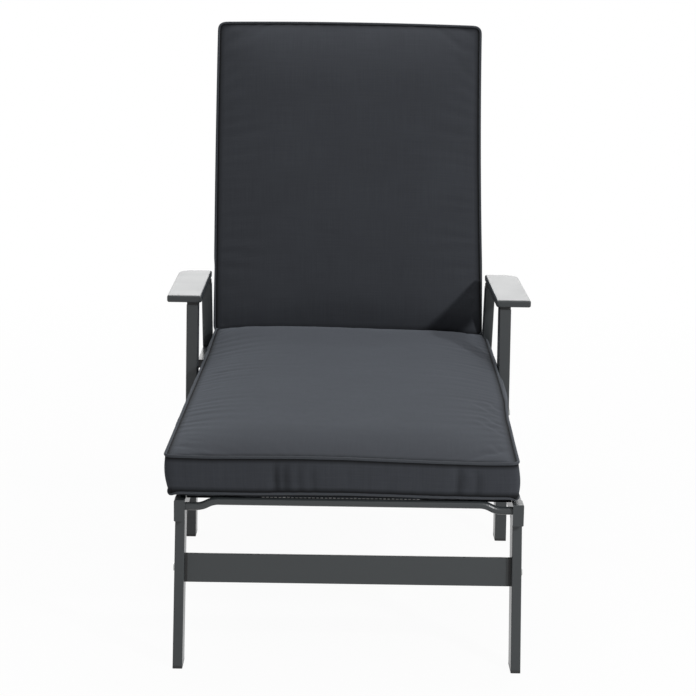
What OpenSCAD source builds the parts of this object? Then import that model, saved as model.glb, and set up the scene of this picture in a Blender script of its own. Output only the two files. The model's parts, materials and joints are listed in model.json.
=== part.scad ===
// Adjustable sun lounger with arms and a two-piece box cushion.
// The foot end faces -Y, +X is the right-hand side seen from the foot end.
// The origin lies on the ground, midway between the feet in X and Y.

/* [Side rails] */
// Length of the side rails
rail_l = 1830; // [1700:10:1950]
// Length of the rails behind the crease between the cushions
head_l = 680; // [640:5:720]
// Width over the two side rails
frame_w = 604; // [560:2:680]
// Height of the rail tops above the ground
rail_top = 289; // [270:1:330]
// Width of the rail profile
rail_w = 17; // [15:1:20]
// Height of the rail profile
rail_h = 36; // [32:1:44]
// Wall of all the rectangular profiles
tube_wall = 1.6; // [1.2:0.1:2.2]
// Corner radius of all the rectangular profiles
tube_round = 2; // [1.6:0.1:2.4]
// Width of the slot that takes the edge of a sling
slot_w = 3.2; // [2.6:0.1:4]

/* [Front end] */
// How far a corner bracket laps over its rail
bracket_l = 30; // [24:1:40]
// Wall of the corner bracket
bracket_wall = 1; // [0.8:0.1:1.6]
// Thickness of the closed face of the corner bracket
bracket_face = 4; // [3:0.5:6]
// Diameter of the round cross tubes
bar_d = 14; // [12:0.5:16]
// Wall of the round cross tubes
bar_wall = 1.5; // [1:0.1:2]
// How far the middle of the front cross tube stands above its ends
joggle_rise = 10; // [6:1:12]
// Length of the sloping run of the front cross tube
joggle_run = 38; // [26:1:50]

/* [Legs] */
// Depth of all the legs and aprons, along the lounger
leg_d = 50; // [40:1:60]
// Lean of the end legs away from the middle of the lounger
leg_rake = 13; // [8:0.5:15]
// How far the end legs reach past the ends of the rails at the ground
leg_reach = 47; // [35:1:55]
// Height of the foot pads
foot_h = 5; // [4:0.5:8]
// Depth of a foot plug in its leg
plug_l = 20; // [14:1:30]
// Thickness of the plate between leg and rail
leg_plate_t = 3; // [2:0.5:5]
// Height of the middle of the aprons
apron_z = 164; // [140:1:180]
// Thickness of the aprons
apron_t = 17; // [14:1:20]
// Thickness of the plastic end piece of an apron
apron_cap_t = 5; // [3:0.5:8]

/* [Arms] */
// Width of the arm legs
arm_leg_w = 24; // [18:1:28]
// Space between a rail and an arm leg
arm_leg_gap = 16; // [12:1:20]
// Lean of the arm legs, foot towards the foot end
arm_leg_rake = 5.8; // [3:0.2:8]
// How far the foot of the arm leg stands in front of the crease
arm_leg_fore = 385; // [360:5:400]
// Height of the top of the armrests above the rails
arm_rise = 224; // [200:1:250]
// Space between a rail and the inner edge of an armrest
arm_gap = 7; // [4:0.5:10]
// Width of an armrest
arm_w = 73; // [60:1:85]
// Thickness of an armrest
arm_t = 15; // [9:0.5:18]
// Overhang of an armrest in front of its arm leg
arm_overhang = 15; // [8:1:25]
// Overhang of an armrest behind its rear post
arm_tail = 22; // [15:1:35]
// Rounding of the edge of an armrest
arm_edge_r = 4; // [1:0.5:4.5]
// Height of the collar under an armrest
collar_h = 8; // [5:0.5:12]
// Width of the rear arm posts and of the bars under them
post_w = 22; // [18:1:26]
// Depth of the rear arm post
post_d = 30; // [24:1:36]
// Lean of the rear arm post, top towards the foot end
post_rake = 18.4; // [12:0.2:22]
// Height of the top of the arm base bar above the rails
base_rise = 49; // [40:1:60]
// Height of the arm base bar profile
base_h = 18; // [14:1:22]
// Length of the arm base bar
base_l = 247; // [220:1:270]
// How far the arm base bar starts in front of the hinge
base_fore = 231; // [210:1:245]

/* [Backrest] */
// Angle of the backrest above the level, as it stands
back_angle = 70; // [55:1:75]
// Reach of the backrest from its hinge
back_reach = 790; // [720:5:820]
// Height of the backrest side profile
back_h = 30; // [26:1:32]
// Space between the side rail and the backrest frame
back_gap = 9; // [8:0.5:12]
// Diameter of the hinge pins
pin_d = 8; // [6:0.5:10]

/* [Prop] */
// Distance from the hinge to the prop pivot, along the backrest
prop_reach = 260; // [230:5:280]
// Distance from the hinge axis down to the prop pivot
prop_drop = 24; // [23:0.5:28]
// Height of a prop arm
prop_h = 18; // [16:0.5:20]
// Thickness of a prop arm
prop_t = 8; // [6:0.5:10]
// Thickness of the notched rack plate
rack_t = 4; // [3:0.5:4.5]
// Depth of the notches below the lane of the prop bar
notch_drop = 4; // [3:0.5:6]

/* [Cushions] */
// How far the cushions reach past the rails at each side
cushion_over = 4; // [0:0.5:5]
// Height of the lower piping above the underside of a cushion
skirt_h = 14; // [8:1:20]
// Height of the boxing between the two lines of piping
boxing_h = 63; // [50:1:75]
// Rise of the crown above the piping
crown_h = 13.5; // [6:0.5:20]
// Rounding of a cushion corner seen from above
cushion_r = 16; // [12:1:30]
// Diameter of the piping
piping_d = 6; // [4:0.5:8]
// How far the lower seam stands in from the upper one
low_tuck = 5; // [0:0.5:8]
// How far the sides are drawn in between the corners
draw_in = 5; // [2:0.5:9]
// How far the outer end of a cushion swells between its corners
end_swell = 4; // [0:0.5:8]
// Distance that the seat cushion reaches past the rails in front
seat_overhang = 3; // [0:1:20]

/* [Hidden] */
$fn = 48;

// Clearances and overruns
run_fit = 0.05;
plug_fit = 0.2;
soft_gap = 0.3;
tube_sides = 20;
joggle_steps = 4;
lane_gap = 0.5;
over = 60;

// Rails
rail_out = frame_w / 2;
rail_in = rail_out - rail_w;
rail_x = rail_out - rail_w / 2;
rail_low = rail_top - rail_h;
rail_end = rail_l / 2;
hinge_z = rail_top - rail_h / 2;

// Slings
sling_t = 1.6;
bead_r = 3;
bead_drop = 9;
sling_lift = 0.4;
sling_top = rail_h / 2 + sling_lift + sling_t;
seat_sling_front = bracket_l + soft_gap;
seat_sling_rear = 76;
back_sling_low = 48;
back_sling_rise = 22;

// Cushions, measured up from the line through the hinge axis
cushion_w = frame_w + 2 * cushion_over;
cushion_low = sling_top + soft_gap;
seam_low = cushion_low + skirt_h;
seam_high = seam_low + boxing_h;
half_fold = back_angle / 2;
pipe_in = piping_d / 2;
side_bulge = 2.5;
cushion_top = 8;
floor_plan_shares = [0.45, 0.92];
crown_plan_shares = [0.93, 0.8, 0.55, 0.25];
crown_rise_shares = [0.4, 0.75, 0.97, 1];

// Hinge and seat length
crease_share = 2 / 3;
seat_len = rail_l - head_l;
crease_z = seam_high + crown_h * crease_share;
hinge_set = seat_len + crease_z * tan(half_fold);
hinge_y = hinge_set - rail_end;

// Bolts, pins and rivets
bolt_d = 6;
bolt_head_d = 12;
bolt_head_h = 3;
bolt_fit = 0.1;
nut_d = 11;
nut_h = 5;
bolt_pitch = 20;
rivet_d = 4.8;
rivet_head_d = 9;
rivet_head_h = 1.6;
pin_head_d = 15;
pin_head_h = 3.5;
pin_tail = 7;

// Legs
leg_x = rail_x;
arm_leg_in = rail_out + arm_leg_gap;
arm_leg_x = arm_leg_in + arm_leg_w / 2;
arm_leg_y = seat_len - arm_leg_fore - rail_end;
arm_top = rail_top + arm_rise;
arm_under = arm_top - arm_t;
arm_leg_top = arm_under - collar_h;
arm_leg_mid_y = arm_leg_y + hinge_z * tan(arm_leg_rake) + leg_d / 2;
spacer_l = 40;
spacer_h = 28;
leg_plate_lap = 3;
leg_top = rail_low - leg_plate_t;
leg_y = -rail_end - leg_reach;
leg_plate_y = leg_y + leg_top * tan(leg_rake) - leg_plate_lap;
apron_y = leg_y + apron_z * tan(leg_rake) + leg_d / 2;
apron_half = rail_in - apron_cap_t;
collar_in = 1;

// Arms
arm_in = rail_out + arm_gap;
arm_y = arm_leg_y + arm_leg_top * tan(arm_leg_rake) - arm_overhang;
arm_corner_share = 1.25;
arm_front_r = arm_edge_r * arm_corner_share;
arm_rear_r = 34;
base_gap = 1.5;
base_in = cushion_w / 2 + base_gap;
base_x = base_in + post_w / 2;
base_y = hinge_y - base_fore;
base_top = rail_top + base_rise;
base_cap_t = 3;
post_share = 0.6243;
post_y = base_y + base_l * post_share;
post_top_y = post_y - (arm_leg_top - base_top) * tan(post_rake);
arm_l = post_top_y + post_d + arm_tail - arm_y;
bracket_foot_h = 22;
bracket_web_l = 100;
bracket_gap = 7.4;
bracket_web_y = hinge_y - pin_head_d / 2 - bracket_gap - bracket_web_l;

// Backrest frame, measured from the hinge axis
back_out = rail_in - back_gap;
back_in = back_out - rail_w;
back_x = back_out - rail_w / 2;
back_up = rail_h / 2;
back_down = back_h - back_up;
back_tail = 18;
back_cap_t = 3;
lower_bar_s = 60;
mid_bar_s = 400;
top_bar_gap = 40;
top_bar_s = back_reach - top_bar_gap;

// Prop, an isosceles linkage: the prop is as long as hinge to pivot
prop_l = sqrt(prop_reach * prop_reach + prop_drop * prop_drop);
prop_slope = atan(prop_drop / prop_reach);
prop_x = back_in + soft_gap + prop_t / 2;
prop_plate_t = 3;
prop_plate_l = 60;
prop_eye_r = 11;
roller_r = 10;
roller_l = 7;
clip_t = 1.5;
clip_d = 13;
notch_shares = [1, 0.8, 0.6, 0.38, 0];
rivet_shares = [0.12, 0.5, 0.88];
rack_rim = 9;
rack_lap = 24;
rack_x = rail_in - rack_t / 2;
prop_bar_half = rail_in - lane_gap;

frame_c = "#45494b";
black_c = "#1d1e1f";
sling_c = "#17181a";
steel_c = "#9a9d9f";
fabric_c = "#33373d";

// Rectangle with round corners, made of squares and discs
module round_rect(w, h, r) {
    square([w - 2 * r, h], center = true);
    square([w, h - 2 * r], center = true);
    for (sx = [-1, 1]) {
        for (sy = [-1, 1]) {
            translate([sx * (w / 2 - r), sy * (h / 2 - r)])
                circle(r);
        }
    }
}

// Hollow section of a rectangular profile
module tube_section(w, h) {
    difference() {
        round_rect(w, h, tube_round);
        square([w - 2 * tube_wall, h - 2 * tube_wall], center = true);
    }
}

// Turns a drawing in X and Z into a bar along Y, starting at y
module along_y(y, l) {
    translate([0, y + l, 0])
        rotate([90, 0, 0])
            linear_extrude(l)
                children();
}

// Round bar along X from x, used for pins, bolts and holes
module along_x(x, l, d) {
    translate([x, 0, 0])
        rotate([0, 90, 0])
            cylinder(d = d, h = l);
}

// Plate drawn in Y and Z, with its thickness along X about x
module plate_x(x, t) {
    translate([x - t / 2, 0, 0])
        rotate([90, 0, 90])
            linear_extrude(t)
                children();
}

// Places a piece that is drawn from the hinge axis with the backrest lying flat
module on_back() {
    translate([0, hinge_y, hinge_z])
        rotate([back_angle, 0, 0])
            children();
}

// Places a piece that is drawn along +Y from the prop pivot
module on_prop() {
    on_back()
        translate([0, prop_reach, -prop_drop])
            rotate([-2 * back_angle - prop_slope, 0, 0])
                children();
}

// Places a piece that is drawn along the lane of the prop bar, from the hinge
module on_lane() {
    translate([0, hinge_y, hinge_z])
        rotate([-prop_slope, 0, 0])
            children();
}

module both_sides() {
    children();
    mirror([1, 0, 0])
        children();
}

module both_ends() {
    children();
    mirror([0, 1, 0])
        children();
}

// Leaning leg cut level at low and high, its foot against y in front
module leaning(x, y, rake, w, d, low, high) {
    intersection() {
        translate([x, y, 0])
            rotate([-rake, 0, 0])
                translate([0, d / 2, -over])
                    linear_extrude(high / cos(rake) + 2 * over)
                        children();
        translate([x - w, y - over, low])
            cube([2 * w, high + d + 2 * over, high - low]);
    }
}

module rail_section() {
    difference() {
        tube_section(rail_w, rail_h);
        translate([-slot_w / 2, 0])
            square([slot_w, rail_h]);
    }
}

// Where the bolts of the arm legs go through, in the side view
module arm_bolt_places() {
    for (s = [-1, 1]) {
        translate([0, arm_leg_mid_y + s * bolt_pitch / 2, hinge_z])
            children();
    }
}

// Where the rivets of the rack plate sit, in the side view
module rack_rivet_places() {
    for (share = rivet_shares) {
        along = lane_at(0) + share * (lane_end() - lane_at(0));
        translate([0, hinge_y + along, hinge_z + rail_h / 5])
            children();
    }
}

// Distance of the prop bar from the hinge, for notch k
function lane_at(k) = 2 * prop_l * cos(back_angle * notch_shares[k]);
function lane_end() = 2 * prop_l;

module side_rail() {
    color(frame_c)
        difference() {
            translate([rail_x, 0, hinge_z])
                along_y(-rail_end, rail_l)
                    rail_section();
            translate([0, hinge_y, hinge_z])
                along_x(rail_in - over, rail_w + 2 * over, pin_d + 2 * run_fit);
            arm_bolt_places()
                along_x(rail_in - over, rail_w + 2 * over, bolt_d + 2 * bolt_fit);
            rack_rivet_places()
                along_x(rail_in - over / 2, over / 2 + tube_wall + plug_fit, rivet_d + 2 * bolt_fit);
        }
}

// Sleeve with a closed face over the rail's end, open below where the leg plate lies
module front_bracket() {
    color(frame_c)
        difference() {
            translate([rail_x, 0, hinge_z]) {
                along_y(-rail_end - bracket_face, bracket_face)
                    round_rect(rail_w + 2 * bracket_wall, rail_h + 2 * bracket_wall, tube_round);
                along_y(-rail_end, bracket_l)
                    difference() {
                        round_rect(rail_w + 2 * bracket_wall, rail_h + 2 * bracket_wall, tube_round);
                        square([rail_w, rail_h], center = true);
                    }
            }
            translate([rail_x - rail_w, leg_plate_y - plug_fit, rail_low - 2 * bracket_wall])
                cube([2 * rail_w, bracket_l, 2 * bracket_wall]);
        }
}

module rear_cap() {
    color(black_c)
        translate([rail_x, 0, hinge_z]) {
            along_y(rail_end, bracket_face)
                round_rect(rail_w, rail_h, tube_round);
            along_y(rail_end - plug_l, plug_l)
                difference() {
                    square([rail_w - 2 * tube_wall - 2 * plug_fit,
                            rail_h - 2 * tube_wall - 2 * plug_fit], center = true);
                    translate([-slot_w / 2, rail_h / 2 - bead_drop - 2 * bead_r])
                        square([slot_w, rail_h]);
                }
        }
}

// Path of the foot-end cross tube from its middle to its right end: x, z, slope
function joggle_path(top, knee, reach, high_z, low_z, r, turn) = concat(
    [for (k = [0:joggle_steps]) let (t = turn * k / joggle_steps)
        [top + r * sin(t), high_z - r * (1 - cos(t)), -t]],
    [for (k = [1:joggle_steps]) let (t = turn * (1 - k / joggle_steps))
        [knee - r * sin(t), low_z + r * (1 - cos(t)), -t]],
    [[reach, low_z, 0]]
);

// One ring of tube points, square to the path at p
function path_ring(p, r) = [for (i = [0:tube_sides - 1]) let (t = 360 * i / tube_sides)
    [p[0] - r * sin(t) * sin(p[2]), r * cos(t), p[1] + r * sin(t) * cos(p[2])]];

// Hollow tube along a path: the outer rings run there and the inner ones back
module path_tube(path, r_out, r_in) {
    last = len(path) - 1;
    points = concat(
        [for (p = path) for (q = path_ring(p, r_out)) q],
        [for (k = [last:-1:0]) for (q = path_ring(path[k], r_in)) q]
    );
    n = tube_sides;
    m = 2 * len(path);
    faces = [for (k = [0:m - 1]) for (i = [0:n - 1])
        let (j = (i + 1) % n, a = k * n, b = (k + 1) % m * n)
        for (f = [[a + i, a + j, b + j], [a + i, b + j, b + i]]) f
    ];
    polyhedron(points, faces);
}

// Cross tube at the foot end: its ends step down in two bends to meet the brackets
module front_crossbar() {
    reach = rail_in - bracket_wall;
    low_z = rail_low + rail_h * 2 / 3;
    knee = reach - joggle_run / 2;
    top = knee - joggle_run;
    turn = 2 * atan(joggle_rise / joggle_run);
    bend_r = joggle_run / 2 / sin(turn);
    half = joggle_path(top, knee, reach, low_z + joggle_rise, low_z, bend_r, turn);
    path = concat([for (k = [len(half) - 1:-1:0]) [-half[k][0], half[k][1], -half[k][2]]], half);
    color(frame_c)
        translate([0, bracket_l / 4 - rail_end, 0])
            path_tube(path, bar_d / 2, bar_d / 2 - bar_wall);
}

// Straight round cross tube between two inner faces
module cross_tube(half, d) {
    difference() {
        along_x(-half, 2 * half, d);
        along_x(-half - over, 2 * half + 2 * over, d - 2 * bar_wall);
    }
}

module seat_mid_bar() {
    color(frame_c)
        translate([0, hinge_y - hinge_set / 2, hinge_z - bar_d / 4])
            cross_tube(rail_in, bar_d);
}

module seat_rear_bar() {
    color(frame_c)
        translate([0, hinge_y - seat_sling_rear, hinge_z - bar_d / 4])
            cross_tube(rail_in, bar_d);
}

// Section of a sling: a flat cloth whose edges turn down into the slots
module sling_section(x, top) {
    translate([-x - sling_t / 2, top - sling_t])
        square([2 * x + sling_t, sling_t]);
    for (s = [-1, 1]) {
        translate([s * x - sling_t / 2, top - bead_drop])
            square([sling_t, bead_drop]);
        translate([s * x, top - bead_drop])
            circle(bead_r);
    }
}

module seat_sling() {
    color(sling_c)
        translate([0, 0, hinge_z])
            along_y(seat_sling_front - rail_end, hinge_set - seat_sling_front - seat_sling_rear)
                sling_section(rail_x, sling_top);
}

module end_leg() {
    color(frame_c)
        difference() {
            leaning(leg_x, leg_y, leg_rake, rail_w, leg_d, foot_h, leg_top)
                tube_section(rail_w, leg_d);
            translate([0, apron_y, apron_z])
                along_x(rail_in - over, rail_w + 2 * over, bolt_d + 2 * bolt_fit);
        }
}

module leg_plates() {
    inner_w = rail_w - 2 * tube_wall - 2 * plug_fit;
    inner_d = leg_d - 2 * tube_wall - 2 * plug_fit;
    color(frame_c)
        both_sides()
            both_ends() {
                translate([leg_x - rail_w / 2, leg_plate_y, leg_top])
                    cube([rail_w, leg_d / cos(leg_rake) + 2 * leg_plate_lap, leg_plate_t]);
                leaning(leg_x, leg_y + (leg_d - inner_d) / 2 / cos(leg_rake), leg_rake, rail_w, inner_d,
                        leg_top - plug_l, leg_top)
                    square([inner_w, inner_d], center = true);
            }
}

// Foot pad with its plug, for a leaning leg
module foot(x, y, rake, w) {
    inner_w = w - 2 * tube_wall - 2 * plug_fit;
    inner_d = leg_d - 2 * tube_wall - 2 * plug_fit;
    leaning(x, y, rake, w, leg_d, 0, foot_h)
        round_rect(w, leg_d, tube_round);
    leaning(x, y + (leg_d - inner_d) / 2 / cos(rake), rake, w, inner_d, foot_h, foot_h + plug_l)
        square([inner_w, inner_d], center = true);
}

module leg_feet() {
    color(black_c)
        both_sides()
            both_ends()
                foot(leg_x, leg_y, leg_rake, rail_w);
}

// Apron between two end legs, leaning as they do
module apron() {
    color(frame_c)
        translate([0, apron_y, apron_z])
            rotate([-leg_rake, 0, 0])
                translate([-apron_half, 0, 0])
                    rotate([90, 0, 90])
                        linear_extrude(2 * apron_half)
                            tube_section(apron_t, leg_d);
}

module apron_caps() {
    color(black_c)
        both_sides()
            both_ends()
                difference() {
                    translate([0, apron_y, apron_z])
                        rotate([-leg_rake, 0, 0])
                            union() {
                                plate_x(rail_in - apron_cap_t / 2, apron_cap_t)
                                    round_rect(apron_t, leg_d, tube_round);
                                plate_x(apron_half - plug_l / 2, plug_l)
                                    square([apron_t - 2 * tube_wall - 2 * plug_fit,
                                            leg_d - 2 * tube_wall - 2 * plug_fit], center = true);
                            }
                    translate([0, apron_y, apron_z])
                        along_x(rail_in - over, 2 * over, bolt_d + 2 * bolt_fit);
                }
}

// Bolt along X with a low round head on the outside
module bolt(x_head, l) {
    along_x(x_head - l, l, bolt_d);
    along_x(x_head, bolt_head_h, bolt_head_d);
}

module frame_bolts() {
    color(steel_c) {
        both_sides()
            both_ends()
                translate([0, apron_y, apron_z])
                    bolt(rail_out, rail_w + apron_cap_t + plug_l / 2);
        both_sides()
            arm_bolt_places() {
                bolt(arm_leg_in + arm_leg_w, arm_leg_w + arm_leg_gap + rail_w);
                difference() {
                    along_x(rail_in - nut_h, nut_h, nut_d);
                    along_x(rail_in - over, 2 * over, bolt_d);
                }
                along_x(rail_in - nut_h, nut_h + run_fit, bolt_d);
            }
    }
}

module arm_leg() {
    color(frame_c)
        difference() {
            leaning(arm_leg_x, arm_leg_y, arm_leg_rake, arm_leg_w, leg_d, foot_h, arm_leg_top)
                tube_section(arm_leg_w, leg_d);
            arm_bolt_places()
                along_x(arm_leg_in - over, arm_leg_w + 2 * over, bolt_d + 2 * bolt_fit);
        }
}

module arm_leg_spacers() {
    color(black_c)
        both_sides()
            difference() {
                translate([rail_out, arm_leg_mid_y - spacer_l / 2, hinge_z - spacer_h / 2])
                    cube([arm_leg_gap, spacer_l, spacer_h]);
                arm_bolt_places()
                    along_x(rail_out - over, arm_leg_gap + 2 * over, bolt_d + 2 * bolt_fit);
            }
}

module arm_leg_feet() {
    color(black_c)
        both_sides()
            foot(arm_leg_x, arm_leg_y, arm_leg_rake, arm_leg_w);
}

module arm_base_bar() {
    color(frame_c)
        translate([base_x, 0, base_top - base_h / 2])
            along_y(base_y, base_l)
                tube_section(post_w, base_h);
}

module arm_base_caps() {
    color(black_c)
        both_sides()
            translate([base_x, 0, base_top - base_h / 2])
                for (y = [base_y - base_cap_t, base_y + base_l]) {
                    along_y(y, base_cap_t)
                        round_rect(post_w, base_h, tube_round);
                }
}

// Bracket on the outside of the rail that carries the arm base bar
module arm_bracket() {
    color(frame_c)
        translate([0, bracket_web_y, 0]) {
            translate([rail_out, 0, hinge_z - bracket_foot_h / 2])
                cube([base_in + post_w - rail_out, bracket_web_l, bracket_foot_h]);
            translate([base_in, 0, hinge_z])
                cube([post_w, bracket_web_l, base_top - base_h - hinge_z]);
        }
}

module arm_rear_post() {
    height = arm_leg_top - base_top;
    color(frame_c)
        intersection() {
            translate([base_x, post_y, base_top])
                rotate([post_rake, 0, 0])
                    translate([0, post_d / 2, -over])
                        linear_extrude(height / cos(post_rake) + 2 * over)
                            tube_section(post_w, post_d);
            translate([base_x - post_w, post_y - height, base_top])
                cube([2 * post_w, 3 * height, height]);
        }
}

module collar(tube_w, d) {
    w = tube_w - 2 * collar_in;
    translate([-w / 2, collar_in, 0])
        cube([w, d - 2 * collar_in, collar_h]);
}

module arm_collars() {
    color(black_c)
        both_sides() {
            translate([arm_leg_x, arm_y + arm_overhang, arm_leg_top])
                collar(arm_leg_w, leg_d);
            translate([base_x, post_top_y, arm_leg_top])
                collar(post_w, post_d);
        }
}

// Disc with a rounded rim, used at the corners of an armrest
module rim_disc(r) {
    rotate_extrude($fn = 32)
        intersection() {
            square([r, arm_t]);
            hull()
                for (x = [0, r - arm_edge_r], z = [arm_edge_r, arm_t - arm_edge_r]) {
                    translate([x, z])
                        circle(arm_edge_r, $fn = 16);
                }
        }
}

module armrest() {
    color(frame_c)
        translate([arm_in, arm_y, arm_under])
            hull() {
                translate([arm_front_r, arm_front_r, 0])
                    rim_disc(arm_front_r);
                translate([arm_w - arm_front_r, arm_front_r, 0])
                    rim_disc(arm_front_r);
                translate([arm_front_r, arm_l - arm_front_r, 0])
                    rim_disc(arm_front_r);
                translate([arm_w - arm_rear_r, arm_l - arm_rear_r, 0])
                    rim_disc(arm_rear_r);
            }
}

// Notched plate that guides and holds the prop bar
module rack_plate() {
    lane_w = bar_d + 2 * lane_gap;
    first = lane_at(0) - notch_drop;
    last = lane_end();
    front = first - lane_w / 2 - rack_rim;
    rear = last + lane_w / 2 + rack_rim;
    color(steel_c)
        difference() {
            union() {
                on_lane()
                    plate_x(rack_x, rack_t)
                        translate([front, -lane_w / 2 - notch_drop - rack_rim])
                            square([rear - front, lane_w + notch_drop + 2 * rack_rim]);
                translate([0, hinge_y, hinge_z])
                    plate_x(rack_x, rack_t)
                        polygon([
                            [front, -rack_lap],
                            [rear, -rack_lap - last * tan(prop_slope) / 2],
                            [rear, rail_h / 3],
                            [front, rail_h / 3]
                        ]);
            }
            on_lane() {
                plate_x(rack_x, rack_t + 2 * over)
                    translate([first, -lane_w / 2])
                        square([last - first, lane_w]);
                for (s = [first, last]) {
                    translate([0, s, 0])
                        along_x(rack_x - over, 2 * over, lane_w);
                }
                for (k = [0:len(notch_shares) - 1]) {
                    translate([0, lane_at(k), -notch_drop])
                        along_x(rack_x - over, 2 * over, lane_w);
                }
            }
            rack_rivet_places()
                along_x(rail_in - over, 2 * over, rivet_d + 2 * bolt_fit);
        }
}

module rack_rivets() {
    color(steel_c)
        both_sides()
            rack_rivet_places() {
                along_x(rack_x - rack_t / 2, rack_t + tube_wall, rivet_d);
                along_x(rack_x - rack_t / 2 - rivet_head_h, rivet_head_h, rivet_head_d);
            }
}

module hinge_pins() {
    color(steel_c)
        both_sides()
            translate([0, hinge_y, hinge_z]) {
                along_x(back_in - pin_tail, rail_out - back_in + pin_tail, pin_d);
                along_x(rail_out, pin_head_h, pin_head_d);
            }
}

module hinge_washers() {
    color(black_c)
        both_sides()
            translate([0, hinge_y, hinge_z])
                difference() {
                    along_x(back_out + run_fit, back_gap - 2 * run_fit, 2 * pin_d);
                    along_x(back_out - over, 2 * over, pin_d + 2 * run_fit);
                }
}

module hinge_nuts() {
    color(steel_c)
        both_sides()
            translate([0, hinge_y, hinge_z])
                difference() {
                    translate([back_in - run_fit - nut_h, 0, 0])
                        rotate([0, 90, 0])
                            cylinder(d = 2 * pin_d, h = nut_h, $fn = 6);
                    along_x(back_in - over, 2 * over, pin_d + run_fit);
                }
}

// Section of a backrest rail, its slot towards the sitter
module back_section() {
    translate([0, (back_up - back_down) / 2])
        difference() {
            tube_section(rail_w, back_h);
            translate([-slot_w / 2, 0])
                square([slot_w, back_h]);
        }
}

// Where the rivets of the prop bracket sit, along the backrest
module prop_rivet_places() {
    for (s = [-1, 1]) {
        translate([0, prop_reach + s * prop_plate_l / 3, (back_up - back_down) / 2])
            children();
    }
}

module back_rail() {
    color(frame_c)
        on_back()
            difference() {
                translate([back_x, 0, 0])
                    along_y(-back_tail, back_reach + back_tail)
                        back_section();
                along_x(back_in - over, rail_w + 2 * over, pin_d + 2 * run_fit);
                prop_rivet_places()
                    along_x(back_in - over, over + tube_wall + plug_fit, rivet_d + 2 * bolt_fit);
            }
}

module back_rail_caps() {
    color(black_c)
        on_back()
            both_sides()
                for (y = [-back_tail - back_cap_t, back_reach]) {
                    translate([back_x, 0, (back_up - back_down) / 2])
                        along_y(y, back_cap_t)
                            round_rect(rail_w, back_h, tube_round);
                }
}

module back_bar(s) {
    color(frame_c)
        on_back()
            translate([0, s, 0])
                cross_tube(back_in, bar_d);
}

module back_sling() {
    color(sling_c)
        on_back()
            along_y(back_sling_low, back_reach - back_sling_low - back_sling_rise)
                sling_section(back_x, sling_top);
}

module prop_bracket() {
    color(frame_c)
        on_back()
            difference() {
                union() {
                    plate_x(back_in - prop_plate_t / 2, prop_plate_t)
                        translate([prop_reach - prop_plate_l / 2, -back_down])
                            square([prop_plate_l, back_h - bar_d / 2]);
                    plate_x(back_in - prop_plate_t / 2, prop_plate_t)
                        translate([prop_reach - prop_eye_r, -prop_drop])
                            square([2 * prop_eye_r, prop_drop]);
                    translate([0, prop_reach, -prop_drop])
                        along_x(back_in - prop_plate_t, prop_plate_t, 2 * prop_eye_r);
                }
                translate([0, prop_reach, -prop_drop])
                    along_x(back_in - over, 2 * over, pin_d + 2 * run_fit);
                prop_rivet_places()
                    along_x(back_in - over, 2 * over, rivet_d + 2 * bolt_fit);
            }
}

module prop_rivets() {
    color(steel_c)
        on_back()
            both_sides()
                prop_rivet_places() {
                    along_x(back_in - prop_plate_t, prop_plate_t + tube_wall, rivet_d);
                    along_x(back_in - prop_plate_t - rivet_head_h, rivet_head_h, rivet_head_d);
                }
}

module prop_pins() {
    pin_l = prop_plate_t + 2 * soft_gap + prop_t + 2 * clip_t;
    color(steel_c)
        on_back()
            both_sides()
                translate([0, prop_reach, -prop_drop]) {
                    along_x(back_in - prop_plate_t, pin_l, pin_d);
                    along_x(back_in - prop_plate_t - pin_head_h, pin_head_h, clip_d);
                }
}

module prop_clips() {
    clip_x = prop_x + prop_t / 2 + soft_gap;
    color(black_c)
        on_back()
            both_sides()
                translate([0, prop_reach, -prop_drop])
                    difference() {
                        along_x(clip_x, clip_t, clip_d);
                        along_x(clip_x - over, 2 * over, pin_d + run_fit);
                    }
}

module prop_arm() {
    color(frame_c)
        on_prop()
            difference() {
                union() {
                    plate_x(prop_x, prop_t)
                        translate([0, -prop_h / 2])
                            square([prop_l, prop_h]);
                    for (s = [0, prop_l]) {
                        translate([0, s, 0])
                            along_x(prop_x - prop_t / 2, prop_t, prop_h);
                    }
                }
                along_x(prop_x - over, 2 * over, pin_d + 2 * run_fit);
                translate([0, prop_l, 0])
                    along_x(prop_x - over, 2 * over, bar_d + run_fit);
            }
}

module prop_bar() {
    color(steel_c)
        on_prop()
            translate([0, prop_l, 0])
                cross_tube(prop_bar_half, bar_d);
}

module prop_rollers() {
    roller_out = rail_in - rack_t - lane_gap;
    color(black_c)
        on_prop()
            both_sides()
                translate([0, prop_l, 0])
                    difference() {
                        along_x(roller_out - roller_l, roller_l, 2 * roller_r);
                        along_x(roller_out - over, 2 * over, bar_d + 2 * run_fit);
                    }
}

// Number of steps along a cushion's width, length and corner
steps_w = 8;
steps_l = 14;
steps_r = 3;

// Quarter turn of a corner, started at the angle from
function corner(x, y, r, from) =
    [for (k = [0:steps_r - 1]) let (t = from + 90 * k / steps_r) [x + r * cos(t), y + r * sin(t)]];

// Rounded rectangle about the origin, walked anticlockwise
function cushion_loop(w, l) = let (a = w / 2 - cushion_r, b = l / 2 - cushion_r) concat(
    [for (i = [0:steps_w - 1]) [-a + 2 * a * i / steps_w, -l / 2]],
    corner(a, -b, cushion_r, -90),
    [for (i = [0:steps_l - 1]) [w / 2, -b + 2 * b * i / steps_l]],
    corner(a, b, cushion_r, 0),
    [for (i = [0:steps_w - 1]) [a - 2 * a * i / steps_w, l / 2]],
    corner(-a, b, cushion_r, 90),
    [for (i = [0:steps_l - 1]) [-w / 2, b - 2 * b * i / steps_l]],
    corner(-a, -b, cushion_r, 180)
);

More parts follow.
